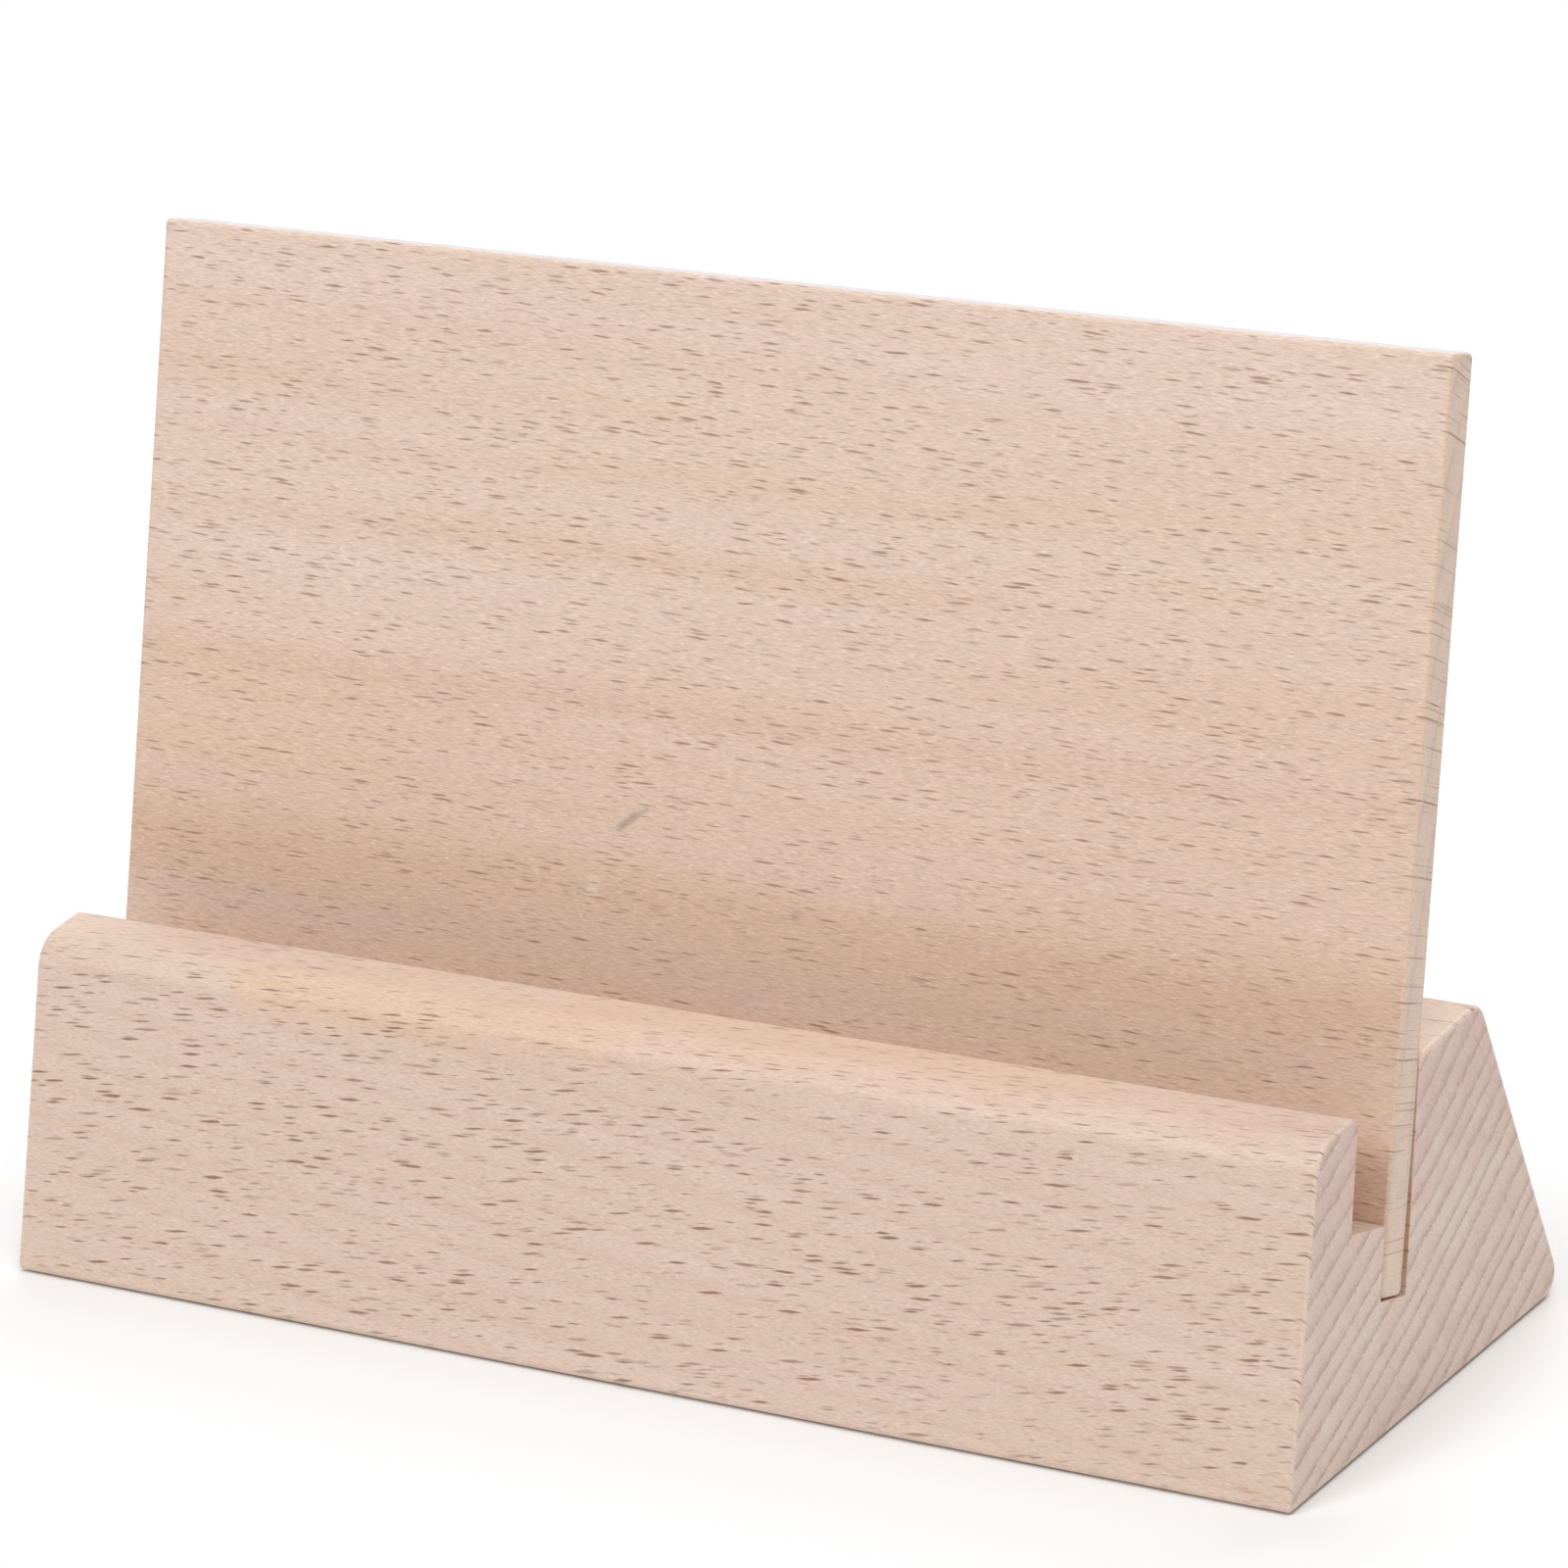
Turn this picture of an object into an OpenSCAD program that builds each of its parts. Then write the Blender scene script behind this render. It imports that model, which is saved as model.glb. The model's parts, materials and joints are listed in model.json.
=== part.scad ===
// Wooden photo block holder. A solid beech block has a slanted, stepped slot along its whole
// length. The narrow groove at the bottom of the slot holds a loose back board. A card or photo
// stands on the ledge in front of the board, behind the low lip, and leans on the board.
// Millimetres: +X runs along the block, +Y to the rear, +Z up, origin at the middle of the foot.

/* [Block] */
// Length of the block
block_l = 150; // [80:1:260]
// Depth of the block over its rounded foot, front to rear
block_d = 52.3; // [46:0.1:80]
// Height of the rear top corner, before rounding
block_h = 34.8; // [29:0.2:50]
// How much lower the front top corner is than the rear one
top_fall = 2.2; // [0:0.1:3]
// Lean of the front and rear faces from upright, in degrees
face_lean = 18; // [5:0.5:20]

/* [Slot] */
// Lean of the slot from upright, in degrees
slot_lean = 15.5; // [10:0.5:18]
// Top of the lip, from the front top corner to the slot
lip_w = 7.6; // [6:0.1:10]
// Depth of the wide part of the slot, down its front wall
slot_depth = 11.5; // [8:0.5:14]
// Width of the ledge that the card stands on
ledge_w = 6.4; // [5:0.1:8]
// Depth of the narrow groove, from the ledge to its floor
groove_depth = 7.3; // [5:0.1:9]

/* [Back board] */
// Height of the back board along its face
board_h = 89; // [60:1:120]
// Thickness of the back board
board_t = 3.9; // [3:0.1:5]
// How far each end of the board stays inside the end of the block
board_inset = 0; // [0:0.5:10]
// Play of the board across its groove, which lets it lean a little further back than the slot
groove_play = 0.9; // [0.5:0.1:1.2]
// Gap that is left where the board touches the block
touch_gap = 0.1; // [0.05:0.01:0.15]

/* [Edges] */
// Rounding of the lip's front edge
lip_front_r = 4; // [1:0.1:5]
// Rounding of the lip's edge at the slot
lip_slot_r = 1; // [0.4:0.1:1.5]
// Rounding of the rear block's edge at the slot
mouth_r = 2; // [0.5:0.1:3]
// Rounding of the rear top edge
rear_top_r = 2.2; // [0.5:0.1:4]
// Rounding of the rear bottom edge
rear_foot_r = 2.5; // [0.5:0.1:4]
// Rounding of the front bottom edge
front_foot_r = 0.6; // [0.2:0.1:2]
// Easing of the edges round the block's ends
end_ease = 0.6; // [0.2:0.1:1.2]
// Easing of all the edges of the back board
board_ease = 0.7; // [0.2:0.1:1.2]

/* [Hidden] */
$fn = 96;
beech = [0.87, 0.76, 0.68];
over = 1; // how far a cutter runs past what it cuts
crossing = 0.004; // each arc is this much larger, so that it crosses its two sides cleanly

// Directions in the profile plane, as [rearward, up]
slot_up = [sin(slot_lean), cos(slot_lean)];
slot_across = [cos(slot_lean), -sin(slot_lean)];

// Sharp corners of the profile, from the front foot up over the lip, through the slot and down
// the rear. The two feet lie outside the depth of the block by what their rounding takes off.
front_foot = [-block_d / 2 - foot_overhang(front_foot_r), 0];
front_top = front_foot + (block_h - top_fall) * [tan(face_lean), 1];
rear_foot = [block_d / 2 + foot_overhang(rear_foot_r), 0];
rear_top = rear_foot + block_h * [-tan(face_lean), 1];
top_along = unit(rear_top - front_top);
groove_w = board_t + groove_play;
lip_edge = front_top + lip_w * top_along;
ledge_front = lip_edge - slot_depth * slot_up;
ledge_rear = ledge_front + ledge_w * slot_across;
groove_front = ledge_rear - groove_depth * slot_up;
groove_rear = groove_front + groove_w * slot_across;
mouth_rear = meeting_point(groove_rear, slot_up, rear_top, top_along);

// The board stands on the groove's floor. Its front bottom edge is against the groove's front
// wall and its back is against the rounded mouth, so it leans back further than the slot does.
// Lengths here are across and up the slot, from the groove's front bottom corner.
mouth_centre = corner_centre(groove_rear, mouth_rear, rear_top, mouth_r);
toe = board_ease + touch_gap;
reach = [(mouth_centre - groove_front) * slot_across - toe, (mouth_centre - groove_front) * slot_up - toe];
back_offset = board_t - board_ease + mouth_r + touch_gap;
extra_lean = acos(back_offset / norm(reach)) - atan2(reach.y, reach.x);
board_lean = slot_lean + extra_lean;
board_up = [sin(board_lean), cos(board_lean)];
board_across = [cos(board_lean), -sin(board_lean)];
toe_rise = (board_t - 2 * board_ease) * sin(extra_lean);
toe_centre = groove_front + toe * slot_across + (toe + toe_rise) * slot_up;
board_corner = toe_centre - board_ease * (board_across + board_up);
board_l = block_l - 2 * board_inset;

function unit(v) = v / norm(v);

// How far a sharp foot corner reaches past its arc of radius r
function foot_overhang(r) = r * (1 / tan((90 - face_lean) / 2) - 1);

// Where the line through p along d crosses the line through q along e
function meeting_point(p, d, q, e) = p + d * cross(q - p, e) / cross(d, e);

// Half of the angle that the outline turns through at p, between its neighbours a and b
function half_angle(a, p, b) = acos(unit(a - p) * unit(b - p)) / 2;

// Centre of the arc that rounds the corner p to radius r
function corner_centre(a, p, b, r) =
    p + unit(unit(a - p) + unit(b - p)) * r / sin(half_angle(a, p, b));

// Closed outline whose corners are rounded with true arcs. A radius of 0 leaves a corner sharp.
module rounded_outline(points, radii) {
    n = len(points);
    difference() {
        polygon(points);
        for (i = [0 : n - 1])
            if (radii[i] > 0)
                corner_sliver(points[(i + n - 1) % n], points[i], points[(i + 1) % n], radii[i]);
    }
}

// What rounding takes off the corner p between its neighbours a and b, with room outside it
module corner_sliver(a, p, b, r) {
    centre = corner_centre(a, p, b, r);
    cut = r / tan(half_angle(a, p, b));
    spread = (r + over) / r;
    translate(centre)
        difference() {
            polygon(spread * [[0, 0], p + cut * unit(a - p) - centre, p - centre, p + cut * unit(b - p) - centre]);
            circle(r + crossing);
        }
}

// Rectangle with its corner at the origin and its four corners rounded
module rounded_rectangle(width, height, r) {
    rounded_outline([[0, 0], [0, height], [width, height], [width, 0]], [r, r, r, r]);
}

// Solid that runs along X with a profile drawn as [rearward, up]
module along_x(length) {
    rotate([90, 0, 90])
        translate([0, 0, -length / 2])
            linear_extrude(length)
                children();
}

// Cutters that ease the edges of both block ends along one straight side of the profile
module end_easing(a, b) {
    side = b - a;
    translate([0, a.x, a.y])
        rotate([atan2(side.y, side.x) - 90, 0, 0])
            translate([0, 0, -over])
                linear_extrude(norm(side) + 2 * over)
                    for (end = [0, 1])
                        mirror([end, 0])
                            translate([block_l / 2, 0])
                                polygon([[-end_ease - over, -over], [over, -over], [over, end_ease + over]]);
}

// Trapezoid block with the stepped slot cut through its top from end to end
module base_block() {
    outline = [front_foot, front_top, lip_edge, ledge_front, ledge_rear,
               groove_front, groove_rear, mouth_rear, rear_top, rear_foot];
    radii = [front_foot_r, lip_front_r, lip_slot_r, 0, 0, 0, 0, mouth_r, rear_top_r, rear_foot_r];
    color(beech)
        difference() {
            along_x(block_l)
                rounded_outline(outline, radii);
            end_easing(front_foot, front_top);
            end_easing(front_top, lip_edge);
            end_easing(mouth_rear, rear_top);
            end_easing(rear_top, rear_foot);
            end_easing(rear_foot, front_foot);
        }
}

// Flat board with every edge eased, leaning in the groove
module back_board() {
    color(beech)
        translate([0, board_corner.x, board_corner.y])
            rotate([-board_lean, 0, 0])
                intersection() {
                    along_x(board_l)
                        rounded_rectangle(board_t, board_h, board_ease);
                    translate([-board_l / 2, 0, 0])
                        linear_extrude(board_h)
                            rounded_rectangle(board_l, board_t, board_ease);
                    translate([-board_l / 2, board_t, 0])
                        rotate([90, 0, 0])
                            linear_extrude(board_t)
                                rounded_rectangle(board_l, board_h, board_ease);
                }
}

base_block();
back_board();
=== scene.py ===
import json
import math

import bmesh
import bpy
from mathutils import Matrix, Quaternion, Vector


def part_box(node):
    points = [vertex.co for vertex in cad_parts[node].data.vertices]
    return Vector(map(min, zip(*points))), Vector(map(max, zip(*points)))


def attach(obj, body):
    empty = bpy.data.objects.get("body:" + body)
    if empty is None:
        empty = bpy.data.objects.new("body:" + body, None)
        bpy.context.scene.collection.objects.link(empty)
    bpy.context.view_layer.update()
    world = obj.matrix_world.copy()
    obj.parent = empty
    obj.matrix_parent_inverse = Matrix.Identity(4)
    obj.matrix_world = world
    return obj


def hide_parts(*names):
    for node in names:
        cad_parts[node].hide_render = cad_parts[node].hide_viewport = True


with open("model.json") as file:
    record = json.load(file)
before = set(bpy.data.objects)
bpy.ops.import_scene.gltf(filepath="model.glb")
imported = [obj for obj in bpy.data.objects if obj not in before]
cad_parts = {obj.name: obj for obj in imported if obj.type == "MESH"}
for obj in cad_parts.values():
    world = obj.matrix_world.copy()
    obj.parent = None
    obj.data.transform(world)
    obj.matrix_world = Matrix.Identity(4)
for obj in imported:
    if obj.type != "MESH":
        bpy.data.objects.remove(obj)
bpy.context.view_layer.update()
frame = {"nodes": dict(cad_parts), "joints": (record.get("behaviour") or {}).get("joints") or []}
print("Frame loaded:", ", ".join(sorted(frame["nodes"])))

mm = 0.001


class Wire:  # an output socket, on which arithmetic adds Math nodes
    def __init__(self, tree, socket=None):
        self.tree = tree
        self.socket = socket

    def node(self, kind, settings=None, values=None, output=0):
        made = self.tree.nodes.new(kind)
        for name, setting in (settings or {}).items():
            if name == "stops":
                self.setStops(made.color_ramp, setting)
            else:
                setattr(made, name, setting)
        for name, value in (values or {}).items():
            if isinstance(value, Wire):
                self.tree.links.new(value.socket, made.inputs[name])
            else:
                made.inputs[name].default_value = value
        return Wire(self.tree, made.outputs[output])

    def setStops(self, ramp, stops):
        while len(ramp.elements) < len(stops):
            ramp.elements.new(1)
        for element, (position, shade) in zip(ramp.elements, stops):
            element.position = position
            element.color = colour(shade)

    def output(self, name):  # another output of the same node
        return Wire(self.tree, self.socket.node.outputs[name])

    def maths(self, operation, *values):
        return self.node("ShaderNodeMath", {"operation": operation}, dict(enumerate(values or [self])))

    def vector(self, operation, other, output="Vector", scale=None):
        values = {0: self, 1: other, "Scale": scale}
        given = {name: value for name, value in values.items() if value is not None}
        return self.node("ShaderNodeVectorMath", {"operation": operation}, given, output)

    def __add__(self, other):
        return self.maths("ADD", self, other)

    def __radd__(self, other):
        return self.maths("ADD", other, self)

    def __sub__(self, other):
        return self.maths("SUBTRACT", self, other)

    def __rsub__(self, other):
        return self.maths("SUBTRACT", other, self)

    def __mul__(self, other):
        return self.maths("MULTIPLY", self, other)

    def __rmul__(self, other):
        return self.maths("MULTIPLY", other, self)

    def __truediv__(self, other):
        return self.maths("DIVIDE", self, other)

    def __rtruediv__(self, other):
        return self.maths("DIVIDE", other, self)

    def __pow__(self, other):
        return self.maths("POWER", self, other)

    def __rpow__(self, other):
        return self.maths("POWER", other, self)

    def fade(self, start, end):  # 0 at start, 1 at end, smooth between
        values = {"Value": self, "From Min": start, "From Max": end}
        return self.node("ShaderNodeMapRange", {"interpolation_type": "SMOOTHSTEP"}, values)

    def limited(self):  # kept between 0 and 1
        return self.node("ShaderNodeClamp", None, {"Value": self})

    def blend(self, under, over):  # this wire is how much of the second colour shows
        return self.node("ShaderNodeMix", {"data_type": "RGBA"}, {0: self, 6: under, 7: over}, 2)

    def into(self, shader, name):
        self.tree.links.new(self.socket, shader.inputs[name])


def colour(values):
    return (*values, 1)


# The camera, set by the edges of the block and the board. Its place is in mm, its clip in m.
cameraLook = {
    "place": (444.3, -615.1, 346.9),
    "azimuth": 35.33,
    "elevation": 21.21,
    "roll": 6.17,
    "lens": 191.9,
    "clip": (0.05, 50),
}


def makeCamera(look):
    camera = bpy.data.objects.new("camera", bpy.data.cameras.new("camera"))
    bpy.context.scene.collection.objects.link(camera)
    azimuth = math.radians(look["azimuth"])
    elevation = math.radians(look["elevation"])
    away = Vector((math.sin(azimuth), -math.cos(azimuth), math.tan(elevation)))
    camera.rotation_mode = "QUATERNION"
    roll = Quaternion((0, 0, 1), -math.radians(look["roll"]))
    camera.rotation_quaternion = away.to_track_quat("Z", "Y") @ roll
    camera.location = Vector(look["place"]) * mm
    camera.data.lens = look["lens"]
    camera.data.clip_start, camera.data.clip_end = look["clip"]
    bpy.context.scene.camera = camera


# The block, in mm and degrees, with the sizes of its construction and its end edges sanded round
blockShape = {
    "length": 150,
    "depth": 52.3,
    "height": 34.8,
    "topFall": 2.2,
    "faceLean": 18,
    "slotLean": 15.5,
    "lipWidth": 7.6,
    "slotDepth": 11.5,
    "ledgeWidth": 6.4,
    "grooveDepth": 7.3,
    "grooveWidth": 4.8,
    "lipFrontRound": 4,
    "lipSlotRound": 1,
    "mouthRound": 2,
    "rearTopRound": 2.2,
    "rearFootRound": 2.5,
    "frontFootRound": 0.6,
    "outerEase": 0.6,
    "slotEase": 0.12,
    "arcSteps": 14,
    "endSteps": 6,
}


def meetingPoint(p, d, q, e):  # of the line through p along d and the line through q along e
    return p + d * (q - p).cross(e) / d.cross(e)


def footOverhang(radius, lean):  # how far a sharp foot corner reaches past its rounding
    return radius * (1 / math.tan((math.pi / 2 - lean) / 2) - 1)


def blockSides(shape):  # a row per corner: place, rounding, and the end easing of the side after it
    lean = math.radians(shape["faceLean"])
    slotLean = math.radians(shape["slotLean"])
    slotUp = Vector((math.sin(slotLean), math.cos(slotLean)))
    slotAcross = Vector((slotUp.y, -slotUp.x))
    frontFoot = Vector((-shape["depth"] / 2 - footOverhang(shape["frontFootRound"], lean), 0))
    frontTop = frontFoot + (shape["height"] - shape["topFall"]) * Vector((math.tan(lean), 1))
    rearFoot = Vector((shape["depth"] / 2 + footOverhang(shape["rearFootRound"], lean), 0))
    rearTop = rearFoot + shape["height"] * Vector((-math.tan(lean), 1))
    topAlong = (rearTop - frontTop).normalized()
    lipEdge = frontTop + shape["lipWidth"] * topAlong
    ledgeFront = lipEdge - shape["slotDepth"] * slotUp
    ledgeRear = ledgeFront + shape["ledgeWidth"] * slotAcross
    grooveFront = ledgeRear - shape["grooveDepth"] * slotUp
    grooveRear = grooveFront + shape["grooveWidth"] * slotAcross
    mouthRear = meetingPoint(grooveRear, slotUp, rearTop, topAlong)
    outer = shape["outerEase"]
    inner = shape["slotEase"]
    return [
        (frontFoot, shape["frontFootRound"], outer),
        (frontTop, shape["lipFrontRound"], outer),
        (lipEdge, shape["lipSlotRound"], inner),
        (ledgeFront, 0, inner),
        (ledgeRear, 0, inner),
        (grooveFront, 0, inner),
        (grooveRear, 0, inner),
        (mouthRear, shape["mouthRound"], outer),
        (rearTop, shape["rearTopRound"], outer),
        (rearFoot, shape["rearFootRound"], outer),
    ]


def roundedOutline(sides, steps):  # points of the outline with the end easing at each
    points = []
    for index, (corner, radius, easeAfter) in enumerate(sides):
        before = (sides[index - 1][0] - corner).normalized()
        after = (sides[(index + 1) % len(sides)][0] - corner).normalized()
        easeBefore = sides[index - 1][2]
        if not radius:
            points.append((corner, easeAfter))
            continue
        half = before.angle(after) / 2
        centre = corner + (before + after).normalized() * radius / math.sin(half)
        start = corner + before * radius / math.tan(half) - centre
        end = corner + after * radius / math.tan(half) - centre
        for step in range(steps + 1):
            share = step / steps
            point = centre + radius * start.slerp(end, share).normalized()
            points.append((point, easeBefore + (easeAfter - easeBefore) * share))
    return points


def insetDirection(outline, index):  # inward, long enough to keep both sides parallel
    point = outline[index][0]
    before = (point - outline[index - 1][0]).normalized()
    after = (outline[(index + 1) % len(outline)][0] - point).normalized()
    normals = Vector((before.y, -before.x)), Vector((after.y, -after.x))
    return (normals[0] + normals[1]) / (1 + normals[0].dot(normals[1]))


def extrudedSection(mesh, outline, length, steps):  # a bar along X with its end edges rounded
    directions = [insetDirection(outline, index) for index in range(len(outline))]
    turns = [math.pi / 2 * step / steps for step in range(steps + 1)]
    sections = [(-1, turn) for turn in reversed(turns)] + [(1, turn) for turn in turns]
    loops = []
    for end, turn in sections:
        loop = []
        for (point, ease), inward in zip(outline, directions):
            place = point + inward * ease * (1 - math.cos(turn))
            along = end * (length / 2 - ease * (1 - math.sin(turn)))
            loop.append(mesh.verts.new(Vector((along, place.x, place.y)) * mm))
        loops.append(loop)
    for loop, following in zip(loops, loops[1:]):
        for index in range(len(loop)):
            mesh.faces.new((loop[index - 1], loop[index], following[index], following[index - 1]))
    mesh.faces.new(loops[0])
    mesh.faces.new(loops[-1])


sharpAngle = 35  # degrees between faces from which an edge shows as a line


def pieceFromMesh(name, mesh, material):
    bmesh.ops.recalc_face_normals(mesh, faces=mesh.faces[:])
    for face in mesh.faces:
        face.smooth = True
    for edge in mesh.edges:
        edge.smooth = edge.calc_face_angle(0) < math.radians(sharpAngle)
    data = bpy.data.meshes.new(name)
    mesh.to_mesh(data)
    mesh.free()
    piece = bpy.data.objects.new(name, data)
    bpy.context.scene.collection.objects.link(piece)
    normals = piece.modifiers.new("flat faces stay flat", "WEIGHTED_NORMAL")
    normals.keep_sharp = True
    evaluated = piece.evaluated_get(bpy.context.evaluated_depsgraph_get())
    piece.data = bpy.data.meshes.new_from_object(evaluated)
    piece.modifiers.clear()
    piece.data.materials.clear()
    piece.data.materials.append(material)
    return piece


def makeBlock(shape, material):
    mesh = bmesh.new()
    outline = roundedOutline(blockSides(shape), shape["arcSteps"])
    extrudedSection(mesh, outline, shape["length"], shape["endSteps"])
    block = pieceFromMesh("beechBlock", mesh, material)
    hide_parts("base_block")
    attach(block, "block")


# The board, in mm: a little lower than its construction, with a crisper top
boardShape = {
    "length": 150,
    "cadHeight": 89,
    "height": 88.9,
    "thickness": 3.9,
    "footRound": 0.7,
    "frontTopRound": 0.5,
    "rearTopRound": 0.6,
    "ease": 0.5,
    "arcSteps": 8,
    "endSteps": 6,
}


def boardDirections():  # up the board and from its front to its back, as [rearward, up]
    up = Vector(frame["joints"][0]["axis"]).yz.normalized()
    return up, Vector((up.y, -up.x))


def boardFoot(shape):  # the front bottom corner of the board, found from the box of its node
    low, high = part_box("back_board")
    up, back = boardDirections()
    middle = (low + high).yz / 2 / mm
    return middle - up * shape["cadHeight"] / 2 - back * shape["thickness"] / 2


def boardSides(shape):  # one row per corner, as for the block
    up, back = boardDirections()
    foot = boardFoot(shape)
    top = foot + shape["height"] * up
    thickness = shape["thickness"] * back
    ease = shape["ease"]
    return [
        (foot, shape["footRound"], ease),
        (top, shape["frontTopRound"], ease),
        (top + thickness, shape["rearTopRound"], ease),
        (foot + thickness, shape["footRound"], ease),
    ]


def makeBoard(shape, material):
    mesh = bmesh.new()
    outline = roundedOutline(boardSides(shape), shape["arcSteps"])
    extrudedSection(mesh, outline, shape["length"], shape["endSteps"])
    board = pieceFromMesh("beechBoard", mesh, material)
    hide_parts("back_board")
    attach(board, "board")


def onBoard(x, height):  # a place on the board's front, from the middle of its foot
    place = boardFoot(boardShape) + height * boardDirections()[0]
    return Vector((x, place.x, place.y))


# Beech as a solid: growth rings round a far pith, and rays that run out from it. Sizes are in mm.
# Zones are tones up the piece, from rows of height and tone; low on the board they are also painted shade,
# and at the block's foot a painted light. Marks are colours along a short line: stains, and painted shade
# deep in the slot and at the board's foot.
blockWood = {
    "grain": (1, 0.0955, -0.0456),
    "foot": Vector((0, 0, 0)),
    "up": Vector((0, 0, 1)),
    "centre": (0, 0, 17),
    "pith": (0, -131, 259),
    "pale": (0.715, 0.548, 0.432),
    "pink": (0.738, 0.560, 0.478),
    "deep": (0.640, 0.440, 0.320),
    "edge": (0.760, 0.590, 0.490),
    "endPale": (0.785, 0.645, 0.545),
    "endPink": (0.750, 0.545, 0.480),
    "endDeep": (0.500, 0.338, 0.280),
    "endPinkness": {"low": 0.3, "high": 0.9, "from": 14, "to": 30},
    # top: a lighter colour painted on faces turned up, a painted light
    "top": {"strength": 0.25, "colour": (0.82, 0.65, 0.54)},
    "rings": {"width": 2.35, "shift": 0.2, "uneven": 2.4, "sharpness": 3, "side": 0.45, "end": 1.0},
    "waves": {"long": 1.2, "short": 0.45, "jagged": 0.5},
    # zones: lighter in the lowest 2 mm, a painted light along the block's foot
    "zones": ((0, 0.05), (1.6, 0.05), (2.4, 0.15), (60, 0.15)),
    "zoneFlecks": 0,
    "clouds": 0.65,
    "fleck": (0.31, 0.168, 0.108),
    "rays": {"length": 3.7, "width": 0.29, "depth": 16, "size": 0.54, "share": 0.66, "strength": 1.15},
    "faintRays": {"length": 2.8, "width": 0.32, "depth": 12, "size": 0.46, "share": 0.50, "strength": 0.5},
    "sideRays": 0.4,  # strength of the flecks on a face that the rays run along
    "endRays": 0.12,  # and on the end grain
    "endLines": 0.3,
    "streaks": 0.5,
    "paintedGlints": 0.25,
    "stainsAndShade": [
        {"start": (-80, 0, 18), "end": (80, 0, 18),  # painted shade: a darker, warmer colour deep in the slot
         "core": 3, "reach": 6, "strength": 0.6, "colour": (0.62, 0.36, 0.18)},
        {"start": (-48, -16, 31.5), "end": (-5, -14, 31.5),  # two warm patches on the lip
         "core": 1, "reach": 4, "strength": 0.5, "colour": (0.74, 0.50, 0.33)},
        {"start": (-10, -13, 32), "end": (45, -12, 32),
         "core": 1, "reach": 6, "strength": 0.35, "colour": (0.74, 0.50, 0.35)},
    ],
}
boardWood = {
    "grain": (1, 0, -0.014),
    "foot": onBoard(0, 0),
    "up": Vector(frame["joints"][0]["axis"]),
    "centre": (0, 8, 56),
    "pith": (0, 168.4, -29.0),
    "pale": (0.752, 0.572, 0.442),
    "pink": (0.778, 0.592, 0.508),
    "deep": (0.640, 0.430, 0.300),
    "edge": (0.720, 0.520, 0.385),
    "endPale": (0.800, 0.632, 0.492),
    "endPink": (0.740, 0.560, 0.475),
    "endDeep": (0.560, 0.410, 0.340),
    "endPinkness": {"low": 0.5, "high": 0.5, "from": 0, "to": 90},
    # top: a near-white colour painted on the board's top edge, a painted highlight
    "top": {"strength": 0.85, "colour": (0.74, 0.67, 0.65)},
    "rings": {"width": 2.9, "shift": 0.75, "uneven": 0.3, "sharpness": 7, "side": 0.05, "end": 0.9},
    "waves": {"long": 0.8, "short": 0.25, "jagged": 0.2},
    # zones: bands in the wood, and darker low on the board, in and just above the slot, which is painted
    # shade of the lip and the slot
    "zones": (
        (0, 0.5), (12, 0.4), (15, 0.24), (18, 0.2), (20, 0.38), (24, 0.80), (27, 0.92), (29.5, 0.66),
        (33, 0.48), (40, 0.43), (43.5, 0.38), (45, 0.56), (46.5, 0.44), (49, 0.25), (57, 0.20),
        (60.5, 0.42), (62, 0.24), (66.5, 0.14), (68.5, 0.26), (70.5, 0.18), (75, 0.18), (76, 0.10),
        (86, 0.04), (100, 0.04),
    ),
    "zoneFlecks": 0.6,
    "clouds": 0.8,
    "fleck": (0.365, 0.218, 0.148),
    "rays": {"length": 3.6, "width": 0.36, "depth": 30, "size": 0.50, "share": 0.76, "strength": 1.02},
    "faintRays": {"length": 2.4, "width": 0.30, "depth": 24, "size": 0.44, "share": 0.40, "strength": 0.42},
    "sideRays": 0.4,
    "endRays": 0.9,
    "endLines": 0.3,
    "streaks": 0.6,
    "paintedGlints": 0.45,
    "stainsAndShade": [
        {"start": onBoard(-80, 6), "end": onBoard(80, 6),  # painted shade: a darker, warmer colour towards the foot, down in the slot
         "core": 2, "reach": 14, "strength": 0.3, "colour": (0.68, 0.42, 0.24)},
        {"start": onBoard(-14.3, 33.6), "end": onBoard(-12.6, 34.9),  # a dark blemish in two strokes
         "core": 0.05, "reach": 0.7, "strength": 0.75, "colour": (0.38, 0.28, 0.24)},
        {"start": onBoard(-13, 34.6), "end": onBoard(-11.2, 35.8),
         "core": 0.05, "reach": 0.45, "strength": 0.6, "colour": (0.45, 0.33, 0.27)},
        {"start": onBoard(-17.2, 26.8), "end": onBoard(-17.0, 27.8),  # a pale spot
         "core": 0.3, "reach": 1.2, "strength": 0.5, "colour": (0.78, 0.63, 0.54)},
        {"start": onBoard(7, 27.4), "end": onBoard(7.1, 27.7),  # a dark spot
         "core": 0.1, "reach": 0.9, "strength": 0.5, "colour": (0.42, 0.29, 0.24)},
    ],
}

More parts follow.
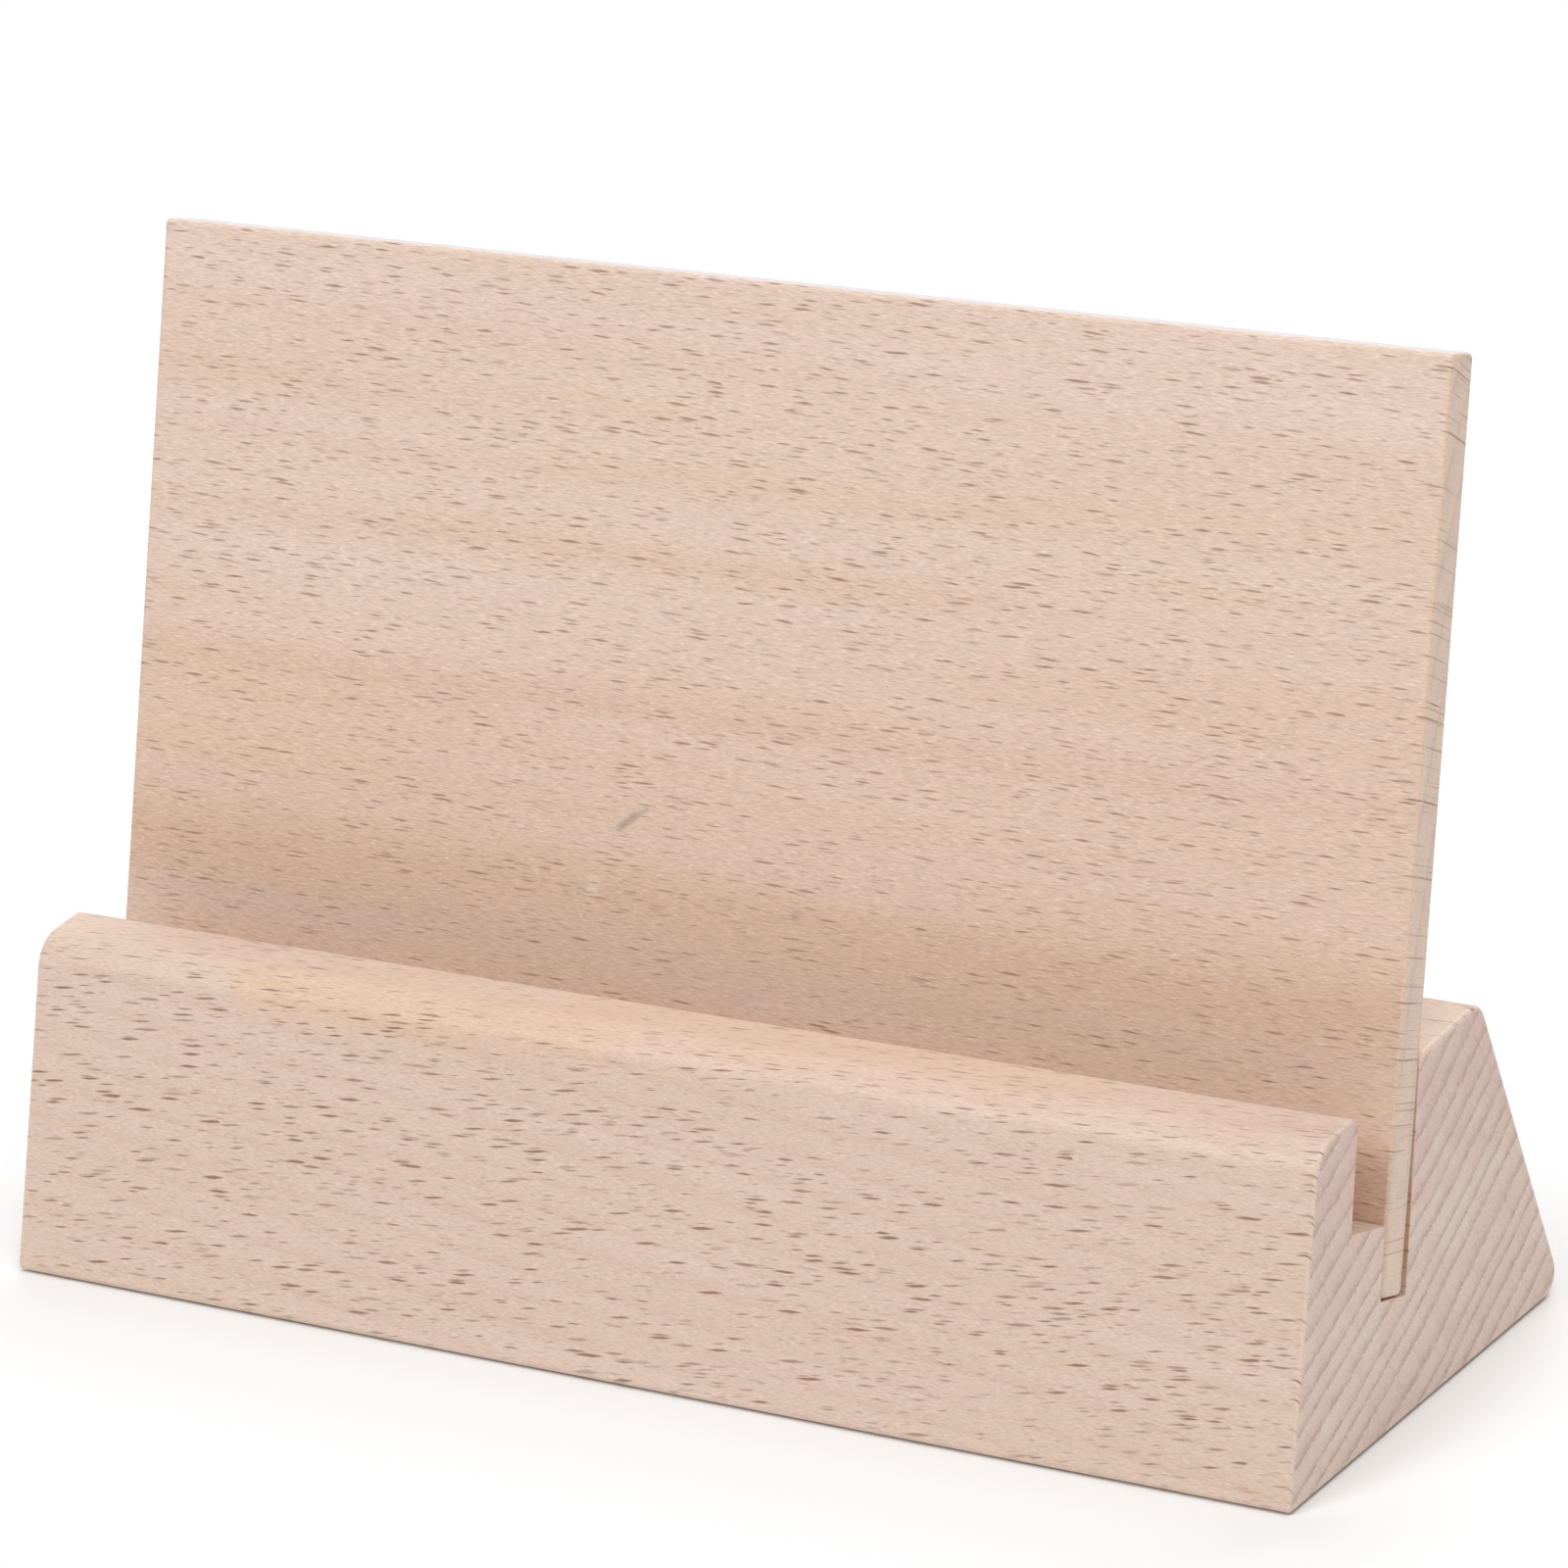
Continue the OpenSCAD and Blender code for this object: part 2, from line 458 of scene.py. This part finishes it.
# Noise in the wood: mm along the grain, across it and outward, then detail and seed
beechClouds = {
    "long waves": ((70, 10, 12), 2, 5.1),
    "short waves": ((8, 0.7, 2), 2, 8.8),
    "jagged waves": ((30, 0.25, 0.5), 1, 1.3),
    "uneven years": ((4000, 4000, 5), 0, 3.3),
    "rays across": ((45, 14, 30), 1, 2.2),
    "rays along": ((40, 0.9, 9), 0, 1.9),
    "crowding": ((30, 2.5, 8), 1, 6.6),
    "tone": ((130, 9, 4), 3, 1.7),
    "blush": ((70, 4, 4), 2, 8.1),
    "end mottle": ((60, 4, 2.5), 3, 7.7),
    "end lines": ((60, 0.14, 18), 1, 4.9),
    "ring breaks": ((60, 1.4, 0.8), 1, 3.9),
    "end specks": ((60, 0.22, 0.22), 1, 0.7),
    "streaks": ((1.1, 0.11, 0.11), 1, 9.2),
    "paintedGlints": ((0.75, 0.085, 0.085), 0, 6.3),
    "gloss": ((2.5, 0.3, 0.3), 1, 7.1),
    "pores": ((0.9, 0.09, 0.09), 1, 4.4),
}

# What the two woods share. A face's turn is 0 beside and 1 facing the direction that is named.
beechLook = {
    "rayWander": {"across": 1.4, "along": 7},  # mm
    "faintShift": {"across": 11.3, "along": 31.7},
    "zoneWaves": 1.5,
    "crowding": 0.4,
    "plainTone": 0.15,
    "blush": 2.4,
    "endMottle": 2.2,
    "ringEdge": (0.86, 1.0),  # share of a year over which its dark line ends
    "ringBreaks": 1.6,
    "endSpecks": 0.55,
    "paintedGlints": {"gain": 4, "threshold": 0.62},
    "endTurn": (0.75, 0.95),
    "edgeTurn": (0.2, 0.5),
    "flatSawnTurn": (0.15, 0.6),
    "topTurn": (0.7, 0.9),
    "roughness": {"side": 0.38, "spread": 0.3, "end": 0.15},
    "relief": {"pores": 0.6, "rays": 0.7, "strength": 0.4, "distance": 0.03 * mm},
}
rayLook = {
    "exponent": 1.35,
    "scatter": 0.85,
    "smallest": 0.45,
    "palest": 0.35,
    "crispness": 2.2,
}


def rayEnds(along, across, radius, crowding, rays):  # lenses where a face cuts the rays
    parts = {"X": along / rays["length"], "Y": across / rays["width"], "Z": radius / rays["depth"]}
    cell = along.node("ShaderNodeCombineXYZ", None, parts)
    values = {"Vector": cell, "Scale": 1, "Exponent": rayLook["exponent"], "Randomness": rayLook["scatter"]}
    distance = along.node("ShaderNodeTexVoronoi", {"distance": "MINKOWSKI"}, values)
    chance = along.node("ShaderNodeSeparateColor", None, {"Color": distance.output("Color")})
    share = rays["share"] * crowding
    spare = (chance - (1 - share)) / share
    present = spare.maths("GREATER_THAN", spare, 0)
    reach = rays["size"] * (rayLook["smallest"] + (1 - rayLook["smallest"]) * spare)
    lens = ((1 - distance / reach) * rayLook["crispness"]).limited()
    darkness = rayLook["palest"] + (1 - rayLook["palest"]) * chance.output("Green")
    return lens * present * darkness * rays["strength"]


def nearness(place, stainOrShade):  # 1 along the mark's middle line, 0 past its reach
    start = Vector(stainOrShade["start"])
    run = Vector(stainOrShade["end"]) - start
    fromStart = place.vector("SCALE", None, scale=1 / mm).vector("SUBTRACT", start)
    share = fromStart.vector("DOT_PRODUCT", run / run.length_squared, "Value").limited()
    nearest = place.node("ShaderNodeVectorMath", {"operation": "SCALE"}, {0: run, "Scale": share})
    distance = fromStart.vector("DISTANCE", nearest, "Value")
    return distance.fade(stainOrShade["reach"], stainOrShade["core"]) * stainOrShade["strength"]


def zoneTone(height, zones):  # the zones' tone at this height
    top = zones[-1][0]
    stops = [(level / top, (tone, tone, tone)) for level, tone in zones]
    ramp = height.node("ShaderNodeValToRGB", {"stops": stops}, {"Fac": height / top})
    return ramp.node("ShaderNodeSeparateColor", None, {"Color": ramp})


def beech(name, wood):
    material = bpy.data.materials.new(name)
    material.use_nodes = True
    shader = material.node_tree.nodes["Principled BSDF"]
    grain = Vector(wood["grain"]).normalized()
    pith = Vector(wood["pith"])
    outward = Vector(wood["centre"]) - pith
    outward -= grain * outward.dot(grain)
    farness = outward.length
    outward.normalize()

    # Where a point lies in the tree: along the grain, round the pith and out from it
    place = Wire(material.node_tree).node("ShaderNodeTexCoord", None, None, "Object")
    normal = place.output("Normal")
    fromPith = place.vector("SUBTRACT", pith * mm)
    along = fromPith.vector("DOT_PRODUCT", grain / mm, "Value")
    upright = fromPith.vector("DOT_PRODUCT", outward / mm, "Value")
    sideways = fromPith.vector("DOT_PRODUCT", grain.cross(outward) / mm, "Value")
    radius = (upright * upright + sideways * sideways) ** 0.5
    across = upright.maths("ARCTAN2", sideways, upright) * farness
    height = place.vector("SUBTRACT", wood["foot"] * mm).vector("DOT_PRODUCT", wood["up"] / mm, "Value")

    def cloud(name):  # noise around 0
        (length, width, depth), detail, seed = beechClouds[name]
        parts = {"X": along / length + seed, "Y": across / width, "Z": radius / depth}
        cell = place.node("ShaderNodeCombineXYZ", None, parts)
        return place.node("ShaderNodeTexNoise", None, {"Vector": cell, "Scale": 1, "Detail": detail}) - 0.5

    # Growth rings: a tone that rises through each year and ends sharply
    rings = wood["rings"]
    waves = wood["waves"]["long"] * cloud("long waves")
    waves += wood["waves"]["short"] * cloud("short waves")
    waves += wood["waves"]["jagged"] * cloud("jagged waves")
    uneven = rings["uneven"] * cloud("uneven years")
    year = ((radius + waves + uneven) / rings["width"] + rings["shift"]).maths("FRACT")
    ring = year ** rings["sharpness"] * (1 - year.fade(*beechLook["ringEdge"]))

    # Rays: strong ones, and faint ones in other places
    zone = zoneTone(height + beechLook["zoneWaves"] * waves, wood["zones"])
    darker = zone - beechLook["plainTone"]
    crowding = 1 + beechLook["crowding"] * cloud("crowding") + wood["zoneFlecks"] * darker
    acrossRays = across + beechLook["rayWander"]["across"] * cloud("rays across")
    alongRays = along + beechLook["rayWander"]["along"] * cloud("rays along")
    strong = rayEnds(alongRays, acrossRays, radius, crowding, wood["rays"])
    alongRays += beechLook["faintShift"]["along"]
    acrossRays += beechLook["faintShift"]["across"]
    faint = rayEnds(alongRays, acrossRays, radius, crowding, wood["faintRays"])
    rays = strong.maths("MAXIMUM", strong, faint)

    # Which way the face is turned
    endOn = normal.vector("DOT_PRODUCT", grain, "Value").maths("ABSOLUTE")
    endGrain = endOn.fade(*beechLook["endTurn"])
    easedEdge = endOn.fade(*beechLook["edgeTurn"])
    out = fromPith.vector("SUBTRACT", fromPith.vector("PROJECT", grain)).vector("NORMALIZE", None)
    acrossRings = out.vector("DOT_PRODUCT", normal, "Value").maths("ABSOLUTE")
    flatSawn = acrossRings.fade(*beechLook["flatSawnTurn"])
    paintedTopLight = normal.vector("DOT_PRODUCT", wood["up"], "Value").fade(*beechLook["topTurn"])

    # The long faces
    tone = zone + wood["clouds"] * cloud("tone") + rings["side"] * ring
    blush = (0.5 + beechLook["blush"] * cloud("blush")).limited()
    side = blush.blend(colour(wood["pale"]), colour(wood["pink"]))
    side = tone.limited().blend(side, colour(wood["deep"]))
    # stains, and painted shade in the slot and at the board's foot
    for stainOrShade in wood["stainsAndShade"]:
        side = nearness(place, stainOrShade).blend(side, colour(stainOrShade["colour"]))
    side = easedEdge.blend(side, colour(wood["edge"]))

    # The end grain
    pinkness = wood["endPinkness"]
    pinker = height.fade(pinkness["from"], pinkness["to"]) * (pinkness["high"] - pinkness["low"])
    mottle = (pinkness["low"] + pinker + beechLook["endMottle"] * cloud("end mottle")).limited()
    end = mottle.blend(colour(wood["endPale"]), colour(wood["endPink"]))
    endTone = rings["end"] * ring * (1 + beechLook["ringBreaks"] * cloud("ring breaks"))
    endTone += wood["endLines"] * cloud("end lines") + beechLook["endSpecks"] * cloud("end specks")
    end = endTone.limited().blend(end, colour(wood["endDeep"]))
    surface = endGrain.blend(side, end)

    # The flecks, painted light on faces turned up, the fine streaks of the pores and painted glints
    cutThrough = flatSawn.maths("MAXIMUM", flatSawn, endGrain)
    seenRays = rays * (wood["sideRays"] + (1 - wood["sideRays"]) * cutThrough)
    flecks = seenRays * (1 - (1 - wood["endRays"]) * endGrain)
    surface = flecks.blend(surface, colour(wood["fleck"]))
    # painted light: faces turned up are blended towards the top colour
    surface = (paintedTopLight * wood["top"]["strength"]).blend(surface, colour(wood["top"]["colour"]))
    streak = 1 + wood["streaks"] * cloud("streaks")
    surface = surface.vector("SCALE", None, scale=streak)
    # painted highlights: small specks blended towards white
    paintedGlints = beechLook["paintedGlints"]
    paintedGlint = (paintedGlints["gain"] * cloud("paintedGlints") - paintedGlints["threshold"]).limited()
    surface = (wood["paintedGlints"] * paintedGlint).blend(surface, colour((1, 1, 1)))
    surface.into(shader, "Base Color")

    gloss = beechLook["roughness"]
    roughness = gloss["side"] + gloss["spread"] * cloud("gloss") + gloss["end"] * endGrain
    roughness.into(shader, "Roughness")
    relief = beechLook["relief"]
    raised = relief["pores"] * cloud("pores") - relief["rays"] * seenRays
    values = {"Height": raised, "Strength": relief["strength"], "Distance": relief["distance"]}
    raised.node("ShaderNodeBump", None, values).into(shader, "Normal")
    return material


# The floor shows its shade only near the object, and is plain white from there on. Sizes in m.
floorLook = {
    "size": 8,
    "drop": 0.0002,
    "colour": (0.93, 0.93, 0.93),
    "shadowed": (0.073, 0.024),
    "whiteFrom": 0,
    "whiteTo": 0.03,
}


def seenDirectly(start):  # 1 for what the camera sees, also through a reflection or glass
    names = "Is Camera Ray", "Is Glossy Ray", "Is Transmission Ray"
    camera, glossy, through = [start.node("ShaderNodeLightPath", None, None, name) for name in names]
    return camera.maths("MAXIMUM", camera.maths("MAXIMUM", camera, glossy), through)


def makeFloor(look):
    mesh = bmesh.new()
    bmesh.ops.create_grid(mesh, x_segments=1, y_segments=1, size=look["size"] / 2)
    data = bpy.data.meshes.new("floor")
    mesh.to_mesh(data)
    mesh.free()
    floor = bpy.data.objects.new("floor", data)
    floor.location.z = -look["drop"]
    bpy.context.scene.collection.objects.link(floor)
    material = bpy.data.materials.new("paleFloor")
    material.use_nodes = True
    tree = material.node_tree
    tree.nodes.remove(tree.nodes["Principled BSDF"])
    start = Wire(tree)
    diffuse = start.node("ShaderNodeBsdfDiffuse", None, {"Color": colour(look["colour"])})
    white = start.node("ShaderNodeEmission", None, {"Color": colour((1, 1, 1)), "Strength": 1})
    place = start.node("ShaderNodeTexCoord", None, None, "Object")
    outside = place.vector("ABSOLUTE", None).vector("SUBTRACT", Vector((*look["shadowed"], 1)))
    distance = outside.vector("MAXIMUM", Vector((0, 0, 0))).vector("LENGTH", None, "Value")
    far = distance.fade(look["whiteFrom"], look["whiteTo"])
    mixed = start.node("ShaderNodeMixShader", None, {0: far * seenDirectly(start), 1: diffuse, 2: white})
    mixed.into(tree.nodes["Material Output"], "Surface")
    data.materials.append(material)


# Three soft lamps round the object, in m and W
lightLook = {
    "sky": 0.25,
    "aim": (0, 0, 0.05),
    "lamps": {
        "key": {"place": (-0.7, -1.5, 1.6), "size": 1.2, "power": 18},
        "top": {"place": (0.8, -0.4, 1.8), "size": 1.4, "power": 19.5},
        "rear": {"place": (-0.3, 1.2, 1.6), "size": 1.2, "power": 13},
    },
}


def makeLights(look):
    world = bpy.data.worlds.new("studio")
    bpy.context.scene.world = world
    world.use_nodes = True
    tree = world.node_tree
    tree.nodes.remove(tree.nodes["Background"])
    start = Wire(tree)
    soft = start.node("ShaderNodeBackground", None, {"Color": colour((1, 1, 1)), "Strength": look["sky"]})
    white = start.node("ShaderNodeBackground", None, {"Color": colour((1, 1, 1)), "Strength": 1})
    mixed = start.node("ShaderNodeMixShader", None, {0: seenDirectly(start), 1: soft, 2: white})
    mixed.into(tree.nodes["World Output"], "Surface")
    for name, lamp in look["lamps"].items():
        light = bpy.data.lights.new(name, "AREA")
        light.shape = "DISK"
        light.size = lamp["size"]
        light.energy = lamp["power"]
        holder = bpy.data.objects.new(name, light)
        holder.location = lamp["place"]
        toObject = Vector(look["aim"]) - Vector(lamp["place"])
        holder.rotation_mode = "QUATERNION"
        holder.rotation_quaternion = toObject.to_track_quat("-Z", "Y")
        bpy.context.scene.collection.objects.link(holder)


makeCamera(cameraLook)
makeFloor(floorLook)
makeLights(lightLook)
print("Camera, floor and lights made")
makeBlock(blockShape, beech("blockBeech", blockWood))
print("Block made")
makeBoard(boardShape, beech("boardBeech", boardWood))
print("Board made")

bpy.context.scene.view_settings.view_transform = "Standard"
